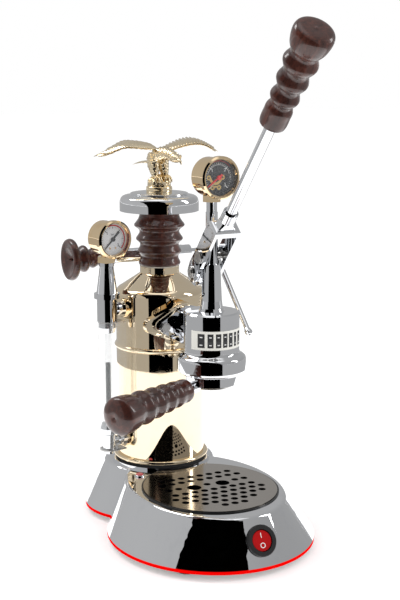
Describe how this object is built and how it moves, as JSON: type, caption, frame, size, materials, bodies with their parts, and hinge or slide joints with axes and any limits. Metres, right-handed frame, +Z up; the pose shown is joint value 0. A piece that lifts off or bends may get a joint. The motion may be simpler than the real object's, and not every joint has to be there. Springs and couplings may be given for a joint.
{
  "type": "lever espresso machine",
  "caption": "Counter-top lever espresso machine with a gold vertical boiler, sight glass, gauges, hand lever, portafilter and a chromed base with drip tray",
  "frame": {"origin": "middle of the footprint's bounding box, on the underside of the rubber feet", "axes": "+Z up, the lever and the drip tray to the front (-Y), +X to the user's right"},
  "size_m": [0.23, 0.3822, 0.4932],
  "materials": {
    "chrome": "polished",
    "gold": "polished",
    "steel": "satin",
    "aluminium": "satin",
    "wood": "satin",
    "red_trim": "gloss",
    "black_plastic": "gloss",
    "red_plastic": "gloss",
    "lamp_red": "gloss",
    "rubber": "matte",
    "gasket_white": "matte",
    "gasket_black": "matte",
    "glass": "clear",
    "clear_guard": "clear",
    "dial_white": "satin",
    "dial_black": "satin",
    "needle_black": "satin",
    "needle_red": "satin",
    "strip": "matte",
    "loom": "matte"
  },
  "bodies": {
    "machine": {"base_shell": "chrome", "base_trim_strip": "red_trim", "bottom_plate": "steel", "rubber_feet": "rubber", "base_screws": "steel", "power_inlet": "black_plastic", "wiring_loom": "loom", "switch_housing": "black_plastic", "pilot_lamp_bezel": "chrome", "pilot_lamp_lens": "lamp_red", "boiler_gasket": "gasket_black", "boiler_shell": "gold", "boiler_lock_ring": "steel", "heating_element": "steel", "thermostat": "black_plastic", "sight_fittings": "chrome", "sight_glass_tube": "glass", "sight_nuts": "chrome", "glass_guard": "clear_guard", "guard_clips": "steel", "boiler_gauge_case": "gold", "boiler_gauge_dial": "dial_white", "boiler_gauge_window": "glass", "steam_valve_body": "chrome", "safety_valve": "gold", "wand_nut": "chrome", "group_body": "chrome", "group_flange_bolts": "steel", "group_flange_gasket": "gasket_white", "cylinder_sleeve": "steel", "group_seal": "gasket_black", "shower_screen": "steel", "temperature_strip": "strip", "fulcrum_pin": "steel"},
    "power_switch": {"switch_rocker": "red_plastic"},
    "tray": {"drip_tray": "black_plastic"},
    "grate": {"drip_grate": "steel"},
    "cap_thread": {"cap_seal": "gasket_white"},
    "boiler_cap": {"cap_plug": "gold", "cap_wood": "wood", "cap_disc": "chrome", "eagle_figure": "gold"},
    "spindle": {"steam_spindle": "steel"},
    "steam_handle": {"steam_knob": "wood"},
    "wand": {"steam_wand": "chrome"},
    "boiler_needle": {"boiler_gauge_needle": "needle_black"},
    "lever": {"lever_fork": "chrome", "lever_rod": "chrome", "lever_handle": "wood"},
    "piston_assembly": {"piston": "aluminium", "piston_seals": "gasket_black", "piston_rod": "chrome", "roller_pin": "steel", "group_gauge_case": "gold", "group_gauge_dial": "dial_black", "group_gauge_window": "glass"},
    "group_needle": {"group_gauge_needle": "needle_red"},
    "portafilter": {"portafilter_body": "chrome", "filter_basket": "steel", "portafilter_handle": "wood"}
  },
  "joints": [
    {"name": "switch_rock", "type": "hinge", "parent": "machine", "child": "power_switch", "pos_m": [0.01749, -0.09645, 0.02984], "axis": [1, 0, 0], "range_deg": [-7, 7]},
    {"name": "tray_lift", "type": "slide", "parent": "machine", "child": "tray", "axis": [0, 0, 1], "range_m": [0, 0.045]},
    {"name": "grate_lift", "type": "slide", "parent": "tray", "child": "grate", "axis": [0, 0, 1], "range_m": [0, 0.03]},
    {"name": "cap_lift", "type": "slide", "parent": "machine", "child": "cap_thread", "axis": [0, 0, 1], "range_m": [0, 0.01202]},
    {"name": "cap_turn", "type": "hinge", "parent": "cap_thread", "child": "boiler_cap", "pos_m": [0.01499, 0.11308, 0.2548], "axis": [0, 0, 1], "range_deg": [0, 2160]},
    {"name": "spindle_travel", "type": "slide", "parent": "machine", "child": "spindle", "axis": [-1, 0, 0], "range_m": [0, 0.00242]},
    {"name": "knob_turn", "type": "hinge", "parent": "spindle", "child": "steam_handle", "pos_m": [-0.03501, 0.14608, 0.262], "axis": [-1, 0, 0], "range_deg": [0, 720]},
    {"name": "wand_swing", "type": "hinge", "parent": "machine", "child": "wand", "pos_m": [0.05599, 0.14608, 0.262], "axis": [1, 0, 0], "range_deg": [-30, 30]},
    {"name": "boiler_needle_turn", "type": "hinge", "parent": "machine", "child": "boiler_needle", "pos_m": [-0.04957, 0.09935, 0.2888], "axis": [0.1736, -0.9848, 0], "range_deg": [-270, 0]},
    {"name": "lever_turn", "type": "hinge", "parent": "machine", "child": "lever", "pos_m": [0.01499, 0.01258, 0.2638], "axis": [1, 0, 0], "range_deg": [-8, 65]},
    {"name": "piston_travel", "type": "slide", "parent": "machine", "child": "piston_assembly", "axis": [0, 0, -1], "range_m": [-0.00296, 0.02336]},
    {"name": "group_needle_turn", "type": "hinge", "parent": "piston_assembly", "child": "group_needle", "pos_m": [0.01499, -0.00342, 0.3548], "axis": [0.0698, -0.9976, 0], "range_deg": [-270, 0]},
    {"name": "portafilter_turn", "type": "hinge", "parent": "machine", "child": "portafilter", "pos_m": [0.01499, -0.00342, 0.168], "axis": [0, 0, 1], "range_deg": [-40, 30]}
  ],
  "couplings": [
    {"joint": "cap_lift", "follows": "cap_turn", "m_per_rad": 0.00031831},
    {"joint": "spindle_travel", "follows": "knob_turn", "m_per_rad": 0.00019099},
    {"joint": "piston_travel", "follows": "lever_turn", "m_per_rad": 0.0205}
  ]
}
